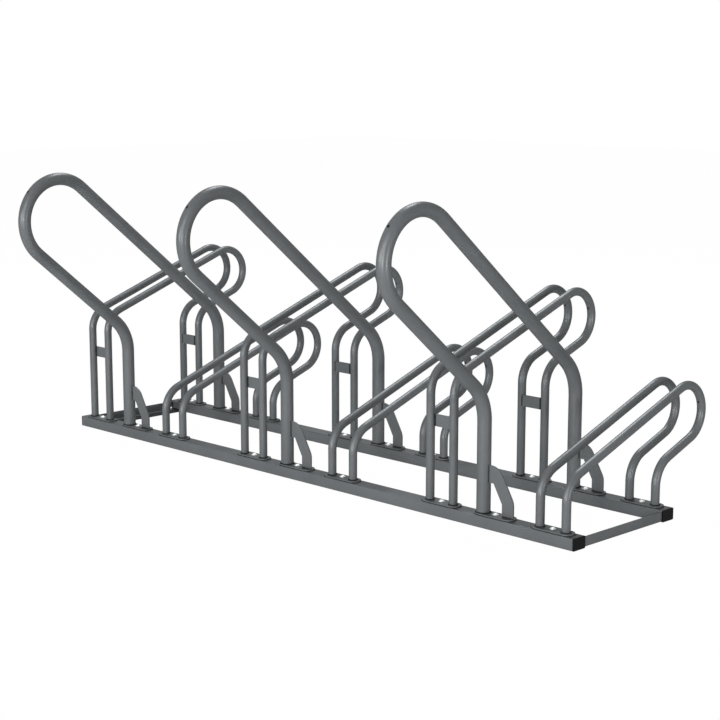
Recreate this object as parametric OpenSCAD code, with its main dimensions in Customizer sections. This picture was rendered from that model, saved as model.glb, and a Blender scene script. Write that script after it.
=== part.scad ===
// Floor bike rack with six wheel places, high and low in turn, and three lean hoops.
// Every tube is welded to a foot plate, and every foot plate is bolted to a box rail.
// Origin: middle of the base, on the floor. X runs along the row, +Y to the rear, +Z up.

/* [Base] */
// Number of wheel places, high and low in turn
place_count = 6; // [2:2:6]
// Spacing of the wheel places
pitch = 350; // [330:5:450]
// Rail beyond the outer foot plates
rail_overhang = 15; // [5:1:90]
// Front rail to rear rail, centre to centre
rail_span = 350; // [320:5:420]
// Width of a rail
rail_w = 45; // [42:1:60]
// Height of a rail
rail_h = 30; // [26:1:50]
// Wall of a rail
rail_wall = 2.5; // [2:0.1:3]
// Corner radius of a rail, outside
rail_outer_r = 3; // [2:0.1:4]
// Corner radius of a rail, inside
rail_inner_r = 1; // [0.5:0.1:1.5]

/* [Cross angles] */
// Height of a cross angle's upright leg
angle_h = 26; // [18:1:28]
// Width of a cross angle's flange on the floor
angle_w = 50; // [35:1:60]
// Thickness of a cross angle
angle_t = 4; // [3:0.5:6]
// Radius inside the bend of a cross angle
angle_root_r = 2.5; // [1:0.5:5]
// Diameter of the drain holes in the left angle's upright leg
drain_d = 8; // [5:0.5:10]
// Distance of a drain hole's middle from the rail
drain_inset = 5; // [5:0.5:20]
// Height of a drain hole's middle above the floor
drain_z = 6; // [5:0.5:12]
// Diameter of the floor anchor holes
anchor_d = 11; // [9:0.5:14]
// Floor anchors across the rack, centre to centre
anchor_span = 200; // [100:5:240]

/* [End caps] */
// Thickness of a cap's face
cap_t = 2.5; // [1.5:0.1:4]
// Depth of a cap's plug in the rail
cap_plug_l = 20; // [14:1:40]
// Wall of a cap's plug
cap_wall = 1.8; // [1.2:0.1:2.5]
// Number of gripping ribs round the plug
cap_rib_count = 3; // [1:1:4]
// Thickness of a gripping rib
cap_rib_t = 1.2; // [0.8:0.1:1.5]
// Height of a gripping rib above the plug
cap_rib_h = 1; // [0.5:0.1:1.5]

/* [Foot plates and bolts] */
// Length of a foot plate
plate_l = 120; // [114:1:160]
// Width of a foot plate
plate_w = 40; // [36:1:42]
// Thickness of a foot plate
plate_t = 4; // [3:0.5:6]
// Diameter of a bolt
bolt_d = 8; // [6:0.5:8.5]
// Diameter of the holes that the bolts pass through
bolt_hole_d = 9; // [9:0.5:11]
// Length of a bolt under its head
bolt_l = 20; // [18:1:28]
// Diameter of a bolt's domed head
bolt_head_d = 14; // [13:0.5:16]
// Height of a bolt's domed head
bolt_head_h = 4.4; // [3.5:0.1:6]
// Width across the flats of a bolt's socket
socket_af = 5; // [4:0.5:6]
// Depth of a bolt's socket
socket_h = 2.6; // [1.5:0.1:3]
// Diameter of a washer
washer_d = 16; // [15:0.5:20]
// Thickness of a washer
washer_t = 1; // [0.5:0.1:2]
// Width across the flats of a weld nut
nut_af = 13; // [12:0.5:16]
// Height of a weld nut
nut_h = 6.5; // [5:0.5:10]

/* [Wheel holders] */
// Clear width of the slot that a wheel stands in
slot_w = 55; // [45:1:58]
// Diameter of a holder tube
holder_d = 22; // [20:0.5:26]
// Wall of a holder tube
holder_wall = 2; // [1.5:0.1:3]
// Centre-line radius of a holder tube's bends
holder_bend_r = 70; // [50:1:75]
// Slope of a holder tube above the level
holder_slope = 20; // [15:1:25]
// Height of a high holder's front bend, at its corner
high_corner_z = 350; // [340:5:420]
// Height of a low holder's front bend, at its corner
low_corner_z = 150; // [145:5:230]
// Straight reach of a holder past its rear bend, from its corner
holder_reach = 150; // [120:5:180]
// Height of the bridge plates between the legs of a high holder
bridge_h = 30; // [20:1:40]
// Thickness of a bridge plate
bridge_t = 6; // [4:0.5:7]
// Height of a bridge plate's lower edge above the floor
bridge_z = 220; // [120:5:230]
// Offset of a bridge plate from the middle of the legs
bridge_offset = 3; // [0:0.25:5]

/* [Lean hoops] */
// Diameter of a hoop tube
hoop_d = 35; // [32:0.5:36]
// Wall of a hoop tube
hoop_wall = 2.5; // [2:0.1:4]
// Centre-line radius of a hoop tube's bends
hoop_bend_r = 118; // [100:1:125]
// Slope of a hoop above the level
hoop_slope = 40; // [35:1:48]
// Height of a hoop's front bend, at its corner
hoop_corner_z = 314; // [290:2:380]
// Straight reach of a hoop past its front bend, from its corner
hoop_reach = 397; // [300:1:440]
// Width of a brace
brace_w = 35; // [30:1:36]
// Thickness of a brace
brace_t = 4; // [3:0.5:6]
// Height of the brace's lower bend above the foot plate
brace_knee_h = 29.5; // [20:0.5:40]
// Length of the brace's slanting part, along its inner edge
brace_slant_l = 54; // [45:1:56]
// Slant of the brace from the upright
brace_slant = 30; // [25:1:32]
// Height of the brace's neck, where it meets the hoop
brace_neck_h = 43; // [38:1:46]

/* [Fits] */
// Gap at the bridge plates and the copes of the braces, which the weld fills
weld_gap = 0.2; // [0.1:0.1:0.5]
// Gap round the ribs of an end cap in its rail
cap_gap = 0.15; // [0.05:0.05:0.3]
// Gap round a bolt in its weld nut
thread_gap = 0.1; // [0.05:0.05:0.2]
// Diameter of the vent holes at the top of the bends
vent_d = 6; // [4:0.5:8]

/* [Hidden] */
$fn = 96;
cut_over = 1;
bend_swell = 0.1;
bend_lap = 0.5;
steel = "slategray";
zinc = "gainsboro";
black = "#1c1c1e";

// Middle of each wheel place and of each hoop's foot plate along the row
place_x = [for (i = [0:place_count - 1]) (i - (place_count - 1) / 2) * pitch];
hoop_x = [for (i = [0:2:place_count - 1]) place_x[i] + pitch / 2];
station_x = concat(place_x, hoop_x);
hoop_count = len(hoop_x);
rail_l = (place_count - 1) * pitch + plate_l + 2 * rail_overhang;
leg_y = rail_span / 2;
leg_gap = slot_w + holder_d;
bridge_l = leg_gap - 2 * sqrt(pow(holder_d / 2 + weld_gap, 2) - pow(bridge_offset, 2));
foot_top_z = rail_h + plate_t;
washer_top_z = foot_top_z + washer_t;
nut_top_z = rail_h - rail_wall;
angle_l = rail_span - rail_w;
anchor_x = rail_l / 2 - (angle_w + angle_t) / 2;

// How much higher the far corner of a loop is than its near corner
holder_rise = (2 * holder_bend_r - rail_span * sin(holder_slope)) / cos(holder_slope);
hoop_rise = (2 * hoop_bend_r - rail_span * sin(hoop_slope)) / cos(hoop_slope);

// Sides of the rack and of a wheel place, with the words that the node names use
ends = [["left", -1], ["right", 1]];
rows = [["front", -1], ["rear", 1]];

// Rectangle round the origin with rounded corners
module rounded_rect(w, h, r) {
    square([w - 2 * r, h], center = true);
    square([w, h - 2 * r], center = true);
    for (x = [-1, 1], y = [-1, 1])
        translate([x * (w / 2 - r), y * (h / 2 - r)])
            circle(r = r);
}

// Slice of a disc between two angles
module pie(r, from, to) {
    intersection() {
        circle(r = r);
        polygon([[0, 0], 2 * r * [cos(from), sin(from)], 2 * r * [cos(to), sin(to)]]);
    }
}

// Section of a round tube
module ring(d, wall) {
    difference() {
        circle(d = d);
        circle(d = d - 2 * wall);
    }
}

// Carries its children round a bend. A positive turn leans them towards -Y
module around(bend_r, turn) {
    side = turn < 0 ? -bend_r : bend_r;
    translate([0, -side, 0])
        rotate([turn, 0, 0])
            translate([0, side, 0])
                children();
}

// Carries its children to the start of one step of a bent tube.
// Each step is a straight length and the turn of the bend after it
module at_step(steps, bend_r, n) {
    if (n == 0)
        children();
    else
        at_step(steps, bend_r, n - 1)
            translate([0, 0, steps[n - 1][0]])
                around(bend_r, steps[n - 1][1])
                    children();
}

// Bent tube that starts at the origin, upright. The straight runs lap into the bends, which
// are a hair thicker, so that the whole length is one solid
module bent_tube(steps, bend_r, d, wall) {
    for (i = [0:len(steps) - 1])
        at_step(steps, bend_r, i) {
            run = steps[i][0];
            turn = steps[i][1];
            lap_before = i == 0 ? 0 : bend_lap;
            lap_after = turn == 0 ? 0 : bend_lap;
            translate([0, 0, -lap_before])
                linear_extrude(run + lap_before + lap_after)
                    ring(d, wall);
            if (turn != 0)
                translate([0, 0, run])
                    rotate([0, 0, turn < 0 ? 180 : 0])
                        translate([0, -bend_r, 0])
                            rotate([90, 0, 90])
                                rotate_extrude(angle = abs(turn))
                                    translate([bend_r, 0])
                                        ring(d + 2 * bend_swell, wall + 2 * bend_swell);
        }
}

// Loop of tube on two legs. It leans out over the near leg, at -leg_y, and comes back over
// the top to the far leg, at +leg_y. Both legs stand on foot plates
module tube_loop(corner_z, rise, slope, reach, bend_r, d, wall) {
    corner = 90 - slope;
    setback = bend_r * tan(corner / 2);
    near_leg = corner_z - foot_top_z - setback;
    far_leg = near_leg + rise;
    back_run = reach + (rail_span - 2 * bend_r * sin(slope)) / cos(slope);
    steps = [
        [near_leg, corner],
        [reach - setback, -180],
        [back_run - setback, -corner],
        [far_leg, 0],
    ];
    translate([0, -leg_y, foot_top_z])
        difference() {
            bent_tube(steps, bend_r, d, wall);
            at_step(steps, bend_r, 1)
                translate([0, 0, steps[1][0]])
                    around(bend_r, steps[1][1] / 2)
                        rotate([90, 0, 0])
                            cylinder(d = vent_d, h = d + 2 * cut_over, center = true);
        }
}

// Box rail with a hole in its top for each foot plate's bolt
module rail(y) {
    color(steel)
        translate([0, y, 0])
            difference() {
                translate([0, 0, rail_h / 2])
                    rotate([90, 0, 90])
                        linear_extrude(rail_l, center = true)
                            difference() {
                                rounded_rect(rail_w, rail_h, rail_outer_r);
                                rail_bore();
                            }
                for (x = station_x)
                    translate([x, 0, nut_top_z - cut_over])
                        cylinder(d = bolt_hole_d, h = rail_wall + 2 * cut_over);
            }
}

// Hollow of a rail, smaller all round by a gap
module rail_bore(gap = 0) {
    shrink = 2 * (rail_wall + gap);
    rounded_rect(rail_w - shrink, rail_h - shrink, rail_inner_r);
}

// Bent angle bar between the rail ends, upright leg outwards. Its flange is drilled for floor
// anchors, and one that is drained has a hole at each end of its upright leg
module cross_angle(drained) {
    color(steel)
        difference() {
            translate([rail_l / 2, 0, 0])
                rotate([90, 0, 0])
                    linear_extrude(angle_l, center = true)
                        angle_section();
            for (side = [-1, 1]) {
                translate([anchor_x, side * anchor_span / 2, 0])
                    cylinder(d = anchor_d, h = 2 * (angle_t + cut_over), center = true);
                if (drained)
                    translate([rail_l / 2, side * (angle_l / 2 - drain_inset), drain_z])
                        rotate([0, 90, 0])
                            cylinder(d = drain_d, h = 2 * (angle_t + cut_over), center = true);
            }
        }
}

// Section of a cross angle, with its outer corner at the origin before the bend rounds it
module angle_section() {
    outer_r = angle_root_r + angle_t;
    translate([-angle_w, 0])
        square([angle_w - outer_r, angle_t]);
    translate([-angle_t, outer_r])
        square([angle_t, angle_h - outer_r]);
    translate([-outer_r, outer_r])
        intersection() {
            ring(2 * outer_r, angle_t);
            translate([0, -outer_r])
                square(outer_r);
        }
}

// Plastic cap for a rail's end: a face, and a hollow plug with ribs that grip the bore
module end_cap(y) {
    rib_pitch = cap_plug_l / (cap_rib_count + 1);
    color(black)
        translate([rail_l / 2, y, rail_h / 2])
            rotate([90, 0, 90]) {
                linear_extrude(cap_t)
                    rounded_rect(rail_w, rail_h, rail_outer_r);
                translate([0, 0, -cap_plug_l])
                    linear_extrude(cap_plug_l)
                        cap_ring(0);
                for (i = [1:cap_rib_count])
                    translate([0, 0, -i * rib_pitch])
                        linear_extrude(cap_rib_t)
                            cap_ring(cap_rib_h);
            }
}

// Section of a cap's plug, or of a rib that stands out from it
module cap_ring(rib_h) {
    difference() {
        rail_bore(cap_gap + cap_rib_h - rib_h);
        rail_bore(cap_gap + cap_rib_h + cap_wall);
    }
}

// Round-ended foot plate with its bolt hole, on top of a rail
module foot_plate(x, y) {
    color(steel)
        translate([x, y, rail_h])
            linear_extrude(plate_t)
                difference() {
                    union() {
                        square([plate_l - plate_w, plate_w], center = true);
                        for (side = [-1, 1])
                            translate([side * (plate_l - plate_w) / 2, 0])
                                circle(d = plate_w);
                    }
                    circle(d = bolt_hole_d);
                }
}

// One of the two tubes of a wheel holder. It leans out to the rear
module holder_tube(i, side) {
    front_z = i % 2 == 0 ? high_corner_z : low_corner_z;
    rear_z = front_z - holder_rise;
    color(steel)
        translate([place_x[i] + side * leg_gap / 2, 0, 0])
            rotate([0, 0, 180])
                tube_loop(rear_z, holder_rise, holder_slope, holder_reach,
                          holder_bend_r, holder_d, holder_wall);
}

// Square-ended plate between two legs of a high holder, inside the line of the legs
module bridge_plate(i, row) {
    color(steel)
        translate([place_x[i], row * leg_y, bridge_z])
            rotate([0, 0, row < 0 ? 0 : 180])
                translate([-bridge_l / 2, bridge_offset, 0])
                    cube([bridge_l, bridge_t, bridge_h]);
}

// Tall hoop that a bicycle leans on. It leans out to the front
module hoop_tube(i) {
    color(steel)
        translate([hoop_x[i] - leg_gap / 2, 0, 0])
            tube_loop(hoop_corner_z, hoop_rise, hoop_slope, hoop_reach,
                      hoop_bend_r, hoop_d, hoop_wall);
}

// Flat brace from a hoop's foot plate to its leg, coped to the tube
module hoop_brace(i, row) {
    leg_x = -leg_gap / 2;
    knee = [leg_gap / 2 - brace_w / 2, brace_knee_h];
    out = [cos(brace_slant), sin(brace_slant)];
    neck = knee + brace_slant_l * [-sin(brace_slant), cos(brace_slant)];
    shoulder = neck - [(brace_neck_h - brace_w) / cos(brace_slant), 0];
    top_h = neck[1] + brace_neck_h;
    color(steel)
        translate([hoop_x[i], row * leg_y, foot_top_z])
            difference() {
                rotate([90, 0, 0])
                    linear_extrude(brace_t, center = true) {
                        polygon([
                            [knee[0], 0],
                            [knee[0] + brace_w, 0],
                            [knee[0] + brace_w, knee[1]],
                            knee + brace_w * out,
                            shoulder + brace_neck_h * out,
                            [shoulder[0], top_h],
                            [leg_x, top_h],
                            [leg_x, neck[1]],
                            neck,
                            knee,
                        ]);
                        translate(knee)
                            pie(brace_w, 0, brace_slant);
                        translate(shoulder)
                            pie(brace_neck_h, brace_slant, 90);
                    }
                translate([leg_x, 0, -cut_over])
                    cylinder(d = hoop_d + 2 * weld_gap, h = top_h + 2 * cut_over);
            }
}

// Copies its children to every bolt of the rack
module at_bolts() {
    for (row = [-1, 1], x = station_x)
        translate([x, row * leg_y, 0])
            children();
}

// Domed bolt heads with a hexagon socket, and their plain shanks
module plate_bolts() {
    dome_r = (pow(bolt_head_d / 2, 2) + pow(bolt_head_h, 2)) / (2 * bolt_head_h);
    color(zinc)
        at_bolts()
            translate([0, 0, washer_top_z])
                difference() {
                    union() {
                        rotate_extrude()
                            intersection() {
                                translate([0, bolt_head_h - dome_r])
                                    circle(r = dome_r);
                                square([bolt_head_d / 2, bolt_head_h]);
                            }
                        translate([0, 0, -bolt_l])
                            cylinder(d = bolt_d, h = bolt_l);
                    }
                    translate([0, 0, bolt_head_h - socket_h])
                        cylinder(d = socket_af / cos(30), h = socket_h + cut_over, $fn = 6);
                }
}

module bolt_washers() {
    color(zinc)
        at_bolts()
            translate([0, 0, foot_top_z])
                linear_extrude(washer_t)
                    ring(washer_d, (washer_d - bolt_hole_d) / 2);
}

// Hexagon nuts welded under the top wall of the rails
module weld_nuts() {
    color(zinc)
        at_bolts()
            translate([0, 0, nut_top_z - nut_h])
                difference() {
                    cylinder(d = nut_af / cos(30), h = nut_h, $fn = 6);
                    translate([0, 0, -cut_over])
                        cylinder(d = bolt_d + 2 * thread_gap, h = nut_h + 2 * cut_over);
                }
}

rail(-leg_y);  // front_rail
rail(leg_y);  // rear_rail
mirror([1, 0, 0]) cross_angle(true);  // left_cross_angle
cross_angle(false);  // right_cross_angle
mirror([1, 0, 0]) end_cap(-leg_y);  // front_left_cap
end_cap(-leg_y);  // front_right_cap
mirror([1, 0, 0]) end_cap(leg_y);  // rear_left_cap
end_cap(leg_y);  // rear_right_cap
for (i = [0:place_count - 1], e = ends)
    holder_tube(i, e[1]);
for (i = [0:place_count - 1], r = rows)
    foot_plate(place_x[i], r[1] * leg_y);
for (i = [0:2:place_count - 1], r = rows)
    bridge_plate(i, r[1]);
for (i = [0:hoop_count - 1])
    hoop_tube(i);
for (i = [0:hoop_count - 1], r = rows)
    foot_plate(hoop_x[i], r[1] * leg_y);
for (i = [0:hoop_count - 1], r = rows)
    hoop_brace(i, r[1]);
plate_bolts();
bolt_washers();
weld_nuts();
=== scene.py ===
import math
import bmesh
import bpy
from mathutils import Matrix, Vector


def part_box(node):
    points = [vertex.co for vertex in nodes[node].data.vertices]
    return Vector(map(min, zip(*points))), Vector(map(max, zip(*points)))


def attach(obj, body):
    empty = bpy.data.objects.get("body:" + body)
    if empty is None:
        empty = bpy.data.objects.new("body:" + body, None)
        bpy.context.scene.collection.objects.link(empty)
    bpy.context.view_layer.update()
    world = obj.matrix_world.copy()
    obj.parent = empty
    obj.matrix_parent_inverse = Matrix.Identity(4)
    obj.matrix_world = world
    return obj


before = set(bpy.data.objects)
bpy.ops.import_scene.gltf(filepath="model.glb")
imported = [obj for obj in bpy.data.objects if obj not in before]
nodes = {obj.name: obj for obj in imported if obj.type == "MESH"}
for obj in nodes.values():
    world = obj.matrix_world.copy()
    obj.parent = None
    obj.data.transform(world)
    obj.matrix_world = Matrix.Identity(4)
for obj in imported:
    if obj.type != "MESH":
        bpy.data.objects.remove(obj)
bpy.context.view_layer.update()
print("frame loaded:", len(nodes), "nodes")

mm = 0.001  # the frame is in metres


# materials: every pattern reads Object coordinates, which are the rack's own metres

noiseSpan = (0.3, 0.7)  # most of a noise texture's values lie between these
wholeSpan = (0, 1)


def emptyTree(owner):
    # the cleared node tree of a material or a world
    owner.use_nodes = True
    owner.node_tree.nodes.clear()
    return owner.node_tree


def newMaterial(name):
    mat = bpy.data.materials.new(name)
    tree = emptyTree(mat)
    out = tree.nodes.new("ShaderNodeOutputMaterial")
    shader = tree.nodes.new("ShaderNodeBsdfPrincipled")
    tree.links.new(shader.outputs["BSDF"], out.inputs["Surface"])
    return mat, tree, shader


def objectPoint(tree, stretch=(1, 1, 1)):
    coords = tree.nodes.new("ShaderNodeTexCoord")
    mapping = tree.nodes.new("ShaderNodeMapping")
    mapping.inputs["Scale"].default_value = stretch
    tree.links.new(coords.outputs["Object"], mapping.inputs["Vector"])
    return mapping.outputs["Vector"]


def noise(tree, point, grain, detail):
    tex = tree.nodes.new("ShaderNodeTexNoise")
    tex.inputs["Scale"].default_value = 1 / grain
    tex.inputs["Detail"].default_value = detail
    tree.links.new(point, tex.inputs["Vector"])
    return tex.outputs["Fac"]


def spread(tree, value, low, high, span=noiseSpan):
    # low up to the start of the span and high from its end
    node = tree.nodes.new("ShaderNodeMapRange")
    limits = {"From Min": span[0], "From Max": span[1], "To Min": low, "To Max": high}
    for socket, number in limits.items():
        node.inputs[socket].default_value = number
    tree.links.new(value, node.inputs["Value"])
    return node.outputs["Result"]


def mixColours(tree, factor, first, second):
    node = tree.nodes.new("ShaderNodeMix")
    node.data_type = "RGBA"
    tree.links.new(factor, node.inputs["Factor"])
    for socket, colour in (("A", first), ("B", second)):
        put = next(s for s in node.inputs if s.name == socket and s.type == "RGBA")
        if isinstance(colour, tuple):
            put.default_value = (*colour, 1)
        else:
            tree.links.new(colour, put)
    return next(s for s in node.outputs if s.type == "RGBA")


def relief(tree, point, grain, detail, depth, strength, under=None):
    # a noisy bump, laid over the one under it
    node = tree.nodes.new("ShaderNodeBump")
    node.inputs["Distance"].default_value = depth
    node.inputs["Strength"].default_value = strength
    tree.links.new(noise(tree, point, grain, detail), node.inputs["Height"])
    if under is not None:
        tree.links.new(under, node.inputs["Normal"])
    return node.outputs["Normal"]


# a pattern is given by its grain in metres and its detail,
# and a relief has its depth in metres and its strength after them
greyCoat = {
    "dark": (0.112, 0.119, 0.124),
    "light": (0.132, 0.140, 0.145),
    "clouds": (0.11, 4.0),
    "dust": (0.148, 0.156, 0.162),
    "specks": (0.0035, 2.0),
    "speckSpan": (0.62, 0.8),
    "speckShare": 0.5,
    "metallic": 0.30,
    "specular": 0.0,
    "edgeTint": (0.7, 0.7, 0.7),
    "roughness": (0.30, 0.38),
    "gloss": (0.02, 3.0),
    "peel": (0.003, 1.0, 0.000012, 0.5),
    "sag": (0.02, 2.0, 0.00005, 0.3),
}

# painted shade: the beads, seams and rims get this nearly black coat, standing in for the contact shadow
# in the creases where they lie
creaseShadeCoat = {
    **greyCoat,
    "dark": (0.014, 0.015, 0.016),
    "light": (0.026, 0.028, 0.030),
    "clouds": (0.02, 4.0),
    "dust": (0.040, 0.042, 0.045),
    "roughness": (0.50, 0.62),
}

# painted shade: the flange of a cross angle is darkened, but for a strip along the angle's outer face,
# standing in for the shade inside the angle
angleShadeCoat = {
    **greyCoat,
    "flange": (0.036, 0.038, 0.040),
    "strip": 19.5 * mm,
    "stripFade": 1.5 * mm,
}


def unshadedOuterStrip(tree, point, strip, fade):
    # 1 in the strip along the outer face of either cross angle, which keeps the coat's tone, and 0
    # further in, where the painted shade lies
    axes = tree.nodes.new("ShaderNodeSeparateXYZ")
    tree.links.new(point, axes.inputs["Vector"])
    fromMiddle = tree.nodes.new("ShaderNodeMath")
    fromMiddle.operation = "ABSOLUTE"
    tree.links.new(axes.outputs["X"], fromMiddle.inputs[0])
    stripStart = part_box("right_cross_angle")[1].x - strip
    return spread(tree, fromMiddle.outputs[0], 0, 1, (stripStart - fade, stripStart))


def makeCoat(name, look):
    # satin powder coat: a faint cloudy tone, tiny pale specks and orange peel
    mat, tree, shader = newMaterial(name)
    point = objectPoint(tree)
    clouds = spread(tree, noise(tree, point, *look["clouds"]), 0, 1)
    tone = mixColours(tree, clouds, look["dark"], look["light"])
    # painted shade: the cross angles are darkened inward of their outer strip
    if "flange" in look:
        outer = unshadedOuterStrip(tree, point, look["strip"], look["stripFade"])
        tone = mixColours(tree, outer, look["flange"], tone)
    specks = noise(tree, point, *look["specks"])
    specks = spread(tree, specks, 0, look["speckShare"], look["speckSpan"])
    tone = mixColours(tree, specks, tone, look["dust"])
    tree.links.new(tone, shader.inputs["Base Color"])
    gloss = spread(tree, noise(tree, point, *look["gloss"]), *look["roughness"])
    tree.links.new(gloss, shader.inputs["Roughness"])
    peel = relief(tree, point, *look["peel"])
    tree.links.new(relief(tree, point, *look["sag"], peel), shader.inputs["Normal"])
    shader.inputs["Metallic"].default_value = look["metallic"]
    shader.inputs["Specular IOR Level"].default_value = look["specular"]
    shader.inputs["Specular Tint"].default_value = (*look["edgeTint"], 1)
    return mat


zincPlate = {
    "bright": (0.80, 0.81, 0.82),
    "dull": (0.64, 0.65, 0.67),
    "clouds": (0.006, 4.0),
    "metallic": 0.75,
    "roughness": (0.42, 0.55),
    "turning": (0.0006, 2.0, 0.00001, 0.3),
    "turningStretch": (1, 1, 3),
}

# the washers lie flat under the dust
dustyZinc = {
    **zincPlate,
    "bright": (0.34, 0.35, 0.36),
    "dull": (0.24, 0.25, 0.26),
}


def makeZincPlate(name, look):
    mat, tree, shader = newMaterial(name)
    clouds = spread(tree, noise(tree, objectPoint(tree), *look["clouds"]), 0, 1)
    tree.links.new(mixColours(tree, clouds, look["dull"], look["bright"]), shader.inputs["Base Color"])
    tree.links.new(spread(tree, clouds, *look["roughness"], wholeSpan), shader.inputs["Roughness"])
    turning = relief(tree, objectPoint(tree, look["turningStretch"]), *look["turning"])
    tree.links.new(turning, shader.inputs["Normal"])
    shader.inputs["Metallic"].default_value = look["metallic"]
    return mat


blackPlastic = {
    "deep": (0.0025, 0.0025, 0.003),
    "worn": (0.006, 0.006, 0.007),
    "clouds": (0.012, 3.0),
    "specular": 0.05,
    "roughness": (0.42, 0.6),
    "grain": (0.0005, 1.0, 0.00004, 0.5),
}


def makeBlackPlastic(name, look):
    mat, tree, shader = newMaterial(name)
    point = objectPoint(tree)
    clouds = spread(tree, noise(tree, point, *look["clouds"]), 0, 1)
    tree.links.new(mixColours(tree, clouds, look["deep"], look["worn"]), shader.inputs["Base Color"])
    tree.links.new(spread(tree, clouds, *look["roughness"], wholeSpan), shader.inputs["Roughness"])
    tree.links.new(relief(tree, point, *look["grain"]), shader.inputs["Normal"])
    shader.inputs["Specular IOR Level"].default_value = look["specular"]
    return mat


coatMat = makeCoat("greyCoat", greyCoat)
creaseShadeMat = makeCoat("creaseShadeCoat", creaseShadeCoat)
angleShadeMat = makeCoat("angleShadeCoat", angleShadeCoat)
zincMat = makeZincPlate("zincPlate", zincPlate)
washerMat = makeZincPlate("dustyZinc", dustyZinc)
plasticMat = makeBlackPlastic("blackPlastic", blackPlastic)


def finishOf(node):
    if node.endswith("_cap"):
        return plasticMat
    if node.endswith("_cross_angle"):
        return angleShadeMat
    if node == "bolt_washers":
        return washerMat
    if node in ("plate_bolts", "weld_nuts"):
        return zincMat
    return coatMat


for name, obj in nodes.items():
    obj.data.materials.clear()
    obj.data.materials.append(finishOf(name))
print("materials on the frame")


# weld beads: a rippled bead is swept for each kind of joint and stamped wherever it belongs; the beads
# are real, their nearly black coat is painted shade

beadShape = {
    "sides": 8,
    "ripple": 2.8 * mm,
    "swell": (1.10, 1.0, 0.95, 1.0),  # thickness at the steps of one ripple
    "tip": (0.35, 0.75),  # thickness at the first steps of an end
}


def swellAt(step):
    return beadShape["swell"][step % len(beadShape["swell"])]


def stepsAlong(length):
    # whole ripples, and one at least
    return max(1, round(length / beadShape["ripple"])) * len(beadShape["swell"])


def roundProfile(bm, radius, place=Matrix.Identity(4)):
    made = bmesh.ops.create_circle(bm, segments=beadShape["sides"], radius=radius, matrix=place)
    verts = made["verts"]
    return verts + list({e for v in verts for e in v.link_edges})


def plainRing(ring, radius, steps):
    # lies flat round the origin
    bm = bmesh.new()
    place = Matrix.Translation((ring, 0, 0)) @ Matrix.Rotation(math.pi / 2, 4, "X")
    bmesh.ops.spin(bm, geom=roundProfile(bm, radius, place), cent=(0, 0, 0), axis=(0, 0, 1),
                   angle=2 * math.pi, steps=steps, use_merge=True)
    return bm


def ringBead(ring, radius):
    # goes round a tube or a hole that stands on the origin
    steps = stepsAlong(2 * math.pi * ring)
    bm = plainRing(ring, radius, steps)
    for v in bm.verts:
        turn = math.atan2(v.co.y, v.co.x) % (2 * math.pi)
        middle = Vector((math.cos(turn), math.sin(turn), 0)) * ring
        v.co = middle + (v.co - middle) * swellAt(round(turn / (2 * math.pi) * steps))
    return bm


def straightBead(length, radius):
    # up from the origin along Z, with small rounded ends
    bm = bmesh.new()
    steps = stepsAlong(length)
    bmesh.ops.spin(bm, geom=roundProfile(bm, radius), cent=(0, 0, 0), axis=(0, 0, 1), angle=0,
                   dvec=(0, 0, length / steps), steps=steps)
    for v in bm.verts:
        step = round(v.co.z / length * steps)
        fromEnd = min(step, steps - step)
        share = beadShape["tip"][fromEnd] if fromEnd < len(beadShape["tip"]) else swellAt(step)
        v.co.x *= share
        v.co.y *= share
    ends = [e for e in bm.edges if e.is_boundary]
    bmesh.ops.holes_fill(bm, edges=ends, sides=beadShape["sides"])
    return bm


def stamp(piece, bead, spots):
    # a copy of the bead at each spot, and the bead itself is used up
    bmesh.ops.recalc_face_normals(bead, faces=bead.faces)
    mesh = bpy.data.meshes.new("bead")
    bead.to_mesh(mesh)
    bead.free()
    for spot in spots:
        before = len(piece.verts)
        piece.from_mesh(mesh)
        piece.verts.ensure_lookup_table()
        bmesh.ops.transform(piece, matrix=spot, verts=piece.verts[before:])
    bpy.data.meshes.remove(mesh)


def stampLine(piece, start, end, radius):
    run = end - start
    turned = run.to_track_quat("Z", "Y").to_matrix().to_4x4()
    stamp(piece, straightBead(run.length, radius), [Matrix.Translation(start) @ turned])


def finishPiece(name, bm):
    mesh = bpy.data.meshes.new(name)
    bm.to_mesh(mesh)
    bm.free()
    mesh.shade_smooth()
    piece = bpy.data.objects.new(name, mesh)
    bpy.context.scene.collection.objects.link(piece)
    # every bead, seam and rim gets the nearly black coat: painted shade in the creases
    piece.data.materials.append(creaseShadeMat)
    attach(piece, "root")
    print(name, "made of", len(mesh.polygons), "faces")


# the names of the nodes count and call the places like this
rows = ("front", "rear")
sides = ("left", "right")
wheelPlaces = range(1, 7)
highPlaces = (1, 3, 5)
hoops = range(1, 4)


def middleOf(node):
    low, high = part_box(node)
    return (low + high) / 2


def tubeRadius(tube):
    low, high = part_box(tube)
    return (high.x - low.x) / 2


def standsAt(tube, foot):
    # where a leg of a bent tube meets its foot plate
    return Matrix.Translation((middleOf(tube).x, middleOf(foot).y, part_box(foot)[1].z))


holderFootWeld = {"radius": 1.9 * mm}


def makeHolderFootWelds(weld=holderFootWeld):
    beads = bmesh.new()
    bead = ringBead(tubeRadius("holder_1_left_tube"), weld["radius"])
    stamp(beads, bead, [standsAt(f"holder_{i}_{side}_tube", f"holder_{i}_{row}_foot")
                        for i in wheelPlaces for side in sides for row in rows])
    finishPiece("holderFootWelds", beads)


hoopFootWeld = {"radius": 2.5 * mm}


def makeHoopFootWelds(weld=hoopFootWeld):
    beads = bmesh.new()
    bead = ringBead(tubeRadius("hoop_1_tube"), weld["radius"])
    stamp(beads, bead, [standsAt(f"hoop_{i}_tube", f"hoop_{i}_{row}_foot")
                        for i in hoops for row in rows])
    finishPiece("hoopFootWelds", beads)


# bead radius at the left and at the right end of a bridge plate; the bigger beads stand where the tubes'
# shadows fall on the plate, as painted shadow
bridgeWeldAndShadow = {
    "front": (2.6 * mm, 1.4 * mm),
    "rear": (0.9 * mm, 2.4 * mm),
}


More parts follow.
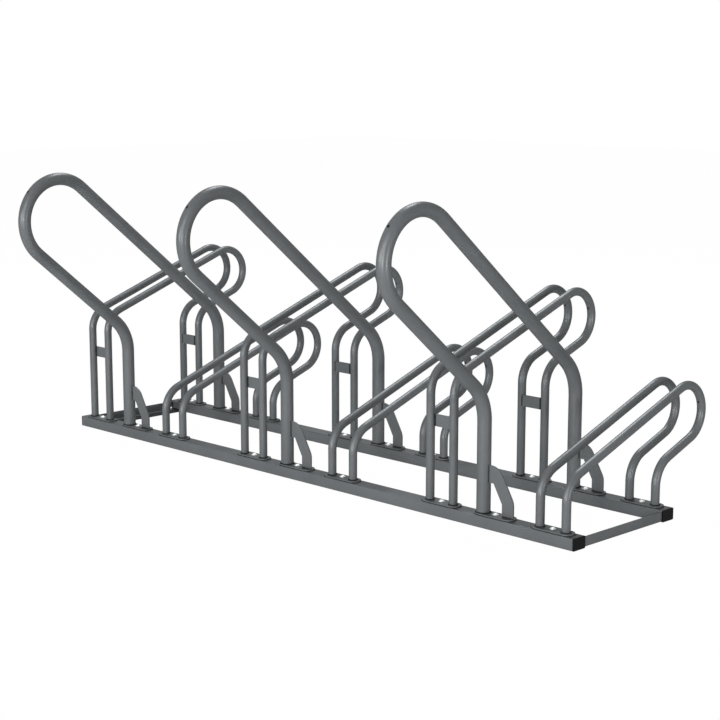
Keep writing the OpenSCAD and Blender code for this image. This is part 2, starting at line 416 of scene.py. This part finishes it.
def makeBridgeWelds(weld=bridgeWeldAndShadow):
    # in the grooves between a bridge plate's ends and the round of the tubes, on both its faces
    beads = bmesh.new()
    for i in highPlaces:
        for row in rows:
            low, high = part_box(f"holder_{i}_{row}_bridge")
            legY = middleOf(f"holder_{i}_{row}_foot").y
            for side, inward, radius in zip(sides, (1, -1), weld[row]):
                tube = f"holder_{i}_{side}_tube"
                for y in (low.y, high.y):
                    tubeHalf = math.sqrt(tubeRadius(tube) ** 2 - (y - legY) ** 2)
                    x = middleOf(tube).x + inward * (tubeHalf + radius / 2)
                    stampLine(beads, Vector((x, y, low.z)), Vector((x, y, high.z)), radius)
    finishPiece("bridgeWelds", beads)


braceWeld = {
    "radius": 1.6 * mm,
    "endSlack": 2.0 * mm,  # corners as near as this to the brace's end belong to it
}


def makeBraceWelds(weld=braceWeld):
    # up the hoop's leg at the brace's neck, and along both sides of its foot
    beads = bmesh.new()
    for i in hoops:
        tube = f"hoop_{i}_tube"
        for row in rows:
            brace = f"hoop_{i}_{row}_brace"
            low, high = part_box(brace)
            corners = [v.co for v in nodes[brace].data.vertices]
            neckLow = min(c.z for c in corners if c.x < low.x + weld["endSlack"])
            footLow = min(c.x for c in corners if c.z < low.z + weld["endSlack"])
            tubeHalf = math.sqrt(tubeRadius(tube) ** 2 - ((high.y - low.y) / 2) ** 2)
            neck = middleOf(tube).x + tubeHalf
            for y in (low.y, high.y):
                stampLine(beads, Vector((neck, y, neckLow)), Vector((neck, y, high.z)), weld["radius"])
                stampLine(beads, Vector((footLow, y, low.z)), Vector((high.x, y, low.z)), weld["radius"])
    finishPiece("braceWelds", beads)


# a count of steps that 4 doesn't divide keeps corners off the line where the ring is drawn apart
footShadeSeam = {
    "radius": 1.2 * mm,
    "steps": 42,
}


def makeFootShadeSeams(shadeSeam=footShadeSeam):
    # painted shade: a nearly black ring where a foot plate meets the rail, drawn out to the plate's
    # length, standing in for the contact shadow along the plate's edge
    shadeSeams = bmesh.new()
    feet = [f"holder_{i}_{row}_foot" for i in wheelPlaces for row in rows]
    feet += [f"hoop_{i}_{row}_foot" for i in hoops for row in rows]
    for foot in feet:
        low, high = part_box(foot)
        halfWidth = (high.y - low.y) / 2
        straight = (high.x - low.x) / 2 - halfWidth
        ring = plainRing(halfWidth, shadeSeam["radius"], shadeSeam["steps"])
        for v in ring.verts:
            v.co.x += math.copysign(straight, v.co.x)
        middle = middleOf(foot)
        stamp(shadeSeams, ring, [Matrix.Translation((middle.x, middle.y, low.z))])
    finishPiece("footShadeSeams", shadeSeams)


# painted shade: a dark ring round the vent hole in the middle of each loop's end bend, standing in for
# the shade inside the hole; the slopes are in degrees
ventShadeRing = {
    "hole": 3.0 * mm,
    "edge": 0.9 * mm,
    "holderBend": 70 * mm,
    "holderSlope": 20,
    "hoopBend": 118 * mm,
    "hoopSlope": 40,
}


def ventAt(tube, bend, slope, lean):
    # lean is 1 where the loop reaches to the rear and -1 where it reaches to the front
    low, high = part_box(tube)
    outer = bend + tubeRadius(tube)
    tipY = high.y if lean > 0 else low.y
    bendMiddle = Vector((middleOf(tube).x, tipY - lean * outer, high.z - outer))
    rise = math.radians(slope)
    out = Vector((0, lean * math.cos(rise), math.sin(rise)))
    turned = out.to_track_quat("Z", "Y").to_matrix().to_4x4()
    return Matrix.Translation(bendMiddle + out * outer) @ turned


def makeVentShadeRings(vent=ventShadeRing):
    shadeRings = bmesh.new()
    spots = [ventAt(f"holder_{i}_{side}_tube", vent["holderBend"], vent["holderSlope"], 1)
             for i in wheelPlaces for side in sides]
    spots += [ventAt(f"hoop_{i}_tube", vent["hoopBend"], vent["hoopSlope"], -1) for i in hoops]
    stamp(shadeRings, ringBead(vent["hole"], vent["edge"]), spots)
    finishPiece("ventShadeRings", shadeRings)


angleWeld = {
    "radius": 2.0 * mm,
    "endSlack": 1.0 * mm,  # corners as near as this to the flange's edge belong to it
    "cornerShare": 2,  # the beads start this many wall thicknesses from the outside corner
}


def makeAngleWelds(weld=angleWeld):
    # inside the corners where the cross angles meet the rails
    beads = bmesh.new()
    for side, inward in zip(sides, (1, -1)):
        low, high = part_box(f"{side}_cross_angle")
        outer, inner = (low.x, high.x) if side == "left" else (high.x, low.x)
        corners = [v.co for v in nodes[f"{side}_cross_angle"].data.vertices]
        flangeTop = max(c.z for c in corners if abs(c.x - inner) < weld["endSlack"])
        thick = flangeTop - low.z
        start = weld["cornerShare"] * thick
        for y in (low.y, high.y):
            root = Vector((outer + inward * start, y, flangeTop))
            stampLine(beads, root, Vector((inner, y, flangeTop)), weld["radius"])
            upright = Vector((outer + inward * thick, y, low.z + start))
            stampLine(beads, upright, Vector((upright.x, y, high.z)), weld["radius"])
    finishPiece("angleWelds", beads)


makeHolderFootWelds()
makeHoopFootWelds()
makeBridgeWelds()
makeBraceWelds()
makeFootShadeSeams()
makeVentShadeRings()
makeAngleWelds()


# studio: pale floor, white surroundings for the eye and for mirrors, soft lamps

studio = {
    "floorSize": 30.0,
    "floorColour": (0.96, 0.96, 0.96),
    "floorGlow": 0.99,  # share of pure white in what the eye sees of the floor
    "white": (1, 1, 1),
    "worldLight": 0.03,
    "lampAim": (0, 0, 0.25),
}


def whiteForEye(tree):
    # 1 for what the camera sees straight, in a reflection or through glass
    path = tree.nodes.new("ShaderNodeLightPath")
    seen = path.outputs["Is Camera Ray"]
    for other in ("Is Glossy Ray", "Is Transmission Ray"):
        both = tree.nodes.new("ShaderNodeMath")
        both.operation = "MAXIMUM"
        tree.links.new(seen, both.inputs[0])
        tree.links.new(path.outputs[other], both.inputs[1])
        seen = both.outputs[0]
    return seen


def makeFloor():
    bm = bmesh.new()
    bmesh.ops.create_grid(bm, x_segments=1, y_segments=1, size=studio["floorSize"] / 2)
    mesh = bpy.data.meshes.new("floor")
    bm.to_mesh(mesh)
    bm.free()
    floor = bpy.data.objects.new("floor", mesh)
    bpy.context.scene.collection.objects.link(floor)
    mat = bpy.data.materials.new("floorWhite")
    tree = emptyTree(mat)
    out = tree.nodes.new("ShaderNodeOutputMaterial")
    matt = tree.nodes.new("ShaderNodeBsdfDiffuse")
    matt.inputs["Color"].default_value = (*studio["floorColour"], 1)
    glow = tree.nodes.new("ShaderNodeEmission")
    glow.inputs["Color"].default_value = (*studio["white"], 1)
    share = tree.nodes.new("ShaderNodeMath")
    share.operation = "MULTIPLY"
    share.inputs[1].default_value = studio["floorGlow"]
    mix = tree.nodes.new("ShaderNodeMixShader")
    tree.links.new(whiteForEye(tree), share.inputs[0])
    tree.links.new(share.outputs[0], mix.inputs["Fac"])
    tree.links.new(matt.outputs[0], mix.inputs[1])
    tree.links.new(glow.outputs[0], mix.inputs[2])
    tree.links.new(mix.outputs[0], out.inputs["Surface"])
    floor.data.materials.append(mat)


def makeWorld():
    world = bpy.data.worlds.new("studio")
    bpy.context.scene.world = world
    tree = emptyTree(world)
    out = tree.nodes.new("ShaderNodeOutputWorld")
    fill = tree.nodes.new("ShaderNodeBackground")
    fill.inputs["Color"].default_value = (*studio["white"], 1)
    fill.inputs["Strength"].default_value = studio["worldLight"]
    backdrop = tree.nodes.new("ShaderNodeBackground")
    backdrop.inputs["Color"].default_value = (*studio["white"], 1)
    mix = tree.nodes.new("ShaderNodeMixShader")
    tree.links.new(whiteForEye(tree), mix.inputs["Fac"])
    tree.links.new(fill.outputs[0], mix.inputs[1])
    tree.links.new(backdrop.outputs[0], mix.inputs[2])
    tree.links.new(mix.outputs[0], out.inputs["Surface"])


# degrees and metres; azimuth turns from +X towards +Y,
# and level is the tone that a white sheet facing the lamp gets from it
lamps = {
    "front": {"azimuth": -98, "elevation": 10, "away": 7.0, "size": (3.6, 2.0), "level": 0.43},
    "low": {"azimuth": -62, "elevation": 5, "away": 7.0, "size": (3.0, 1.2), "level": 0.36},
    "upper": {"azimuth": -68, "elevation": 28, "away": 7.0, "size": (3.6, 2.0), "level": 0.26},
    "right": {"azimuth": -8, "elevation": 3, "away": 5.0, "size": (1.8, 0.6), "level": 0.22},
    "back": {"azimuth": 134, "elevation": 52, "away": 6.0, "size": (2.4, 2.0), "level": 0.56},
    "overhead": {"azimuth": 112, "elevation": 67, "away": 6.0, "size": (2.4, 2.0), "level": 0.36},
}


def makeLamp(name, azimuth, elevation, away, size, level):
    data = bpy.data.lights.new(name, "AREA")
    data.shape = "ELLIPSE"
    data.size, data.size_y = size
    data.energy = level * (math.pi * away) ** 2
    lamp = bpy.data.objects.new(name, data)
    turn = math.radians(azimuth)
    rise = math.radians(elevation)
    direction = Vector((math.cos(turn) * math.cos(rise), math.sin(turn) * math.cos(rise), math.sin(rise)))
    lamp.location = Vector(studio["lampAim"]) + direction * away
    lamp.rotation_euler = direction.to_track_quat("Z", "Y").to_euler()
    bpy.context.scene.collection.objects.link(lamp)


makeFloor()
makeWorld()
for name, lamp in lamps.items():
    makeLamp(name, **lamp)
print("studio made")


# where the photo was taken from: metres, degrees, and millimetres of lens
photoCamera = {
    "place": (3.2178, -3.1372, 1.1018),
    "yaw": 45.156,
    "down": 10.11,
    "lens": 83.48,
    "sensor": 36.0,
}


def makeCamera(setup=photoCamera):
    data = bpy.data.cameras.new("camera")
    data.sensor_width = setup["sensor"]
    data.lens = setup["lens"]
    camera = bpy.data.objects.new("camera", data)
    camera.location = setup["place"]
    camera.rotation_euler = (math.radians(90 - setup["down"]), 0, math.radians(setup["yaw"]))
    bpy.context.scene.collection.objects.link(camera)
    bpy.context.scene.camera = camera


makeCamera()
bpy.context.scene.view_settings.view_transform = "Standard"
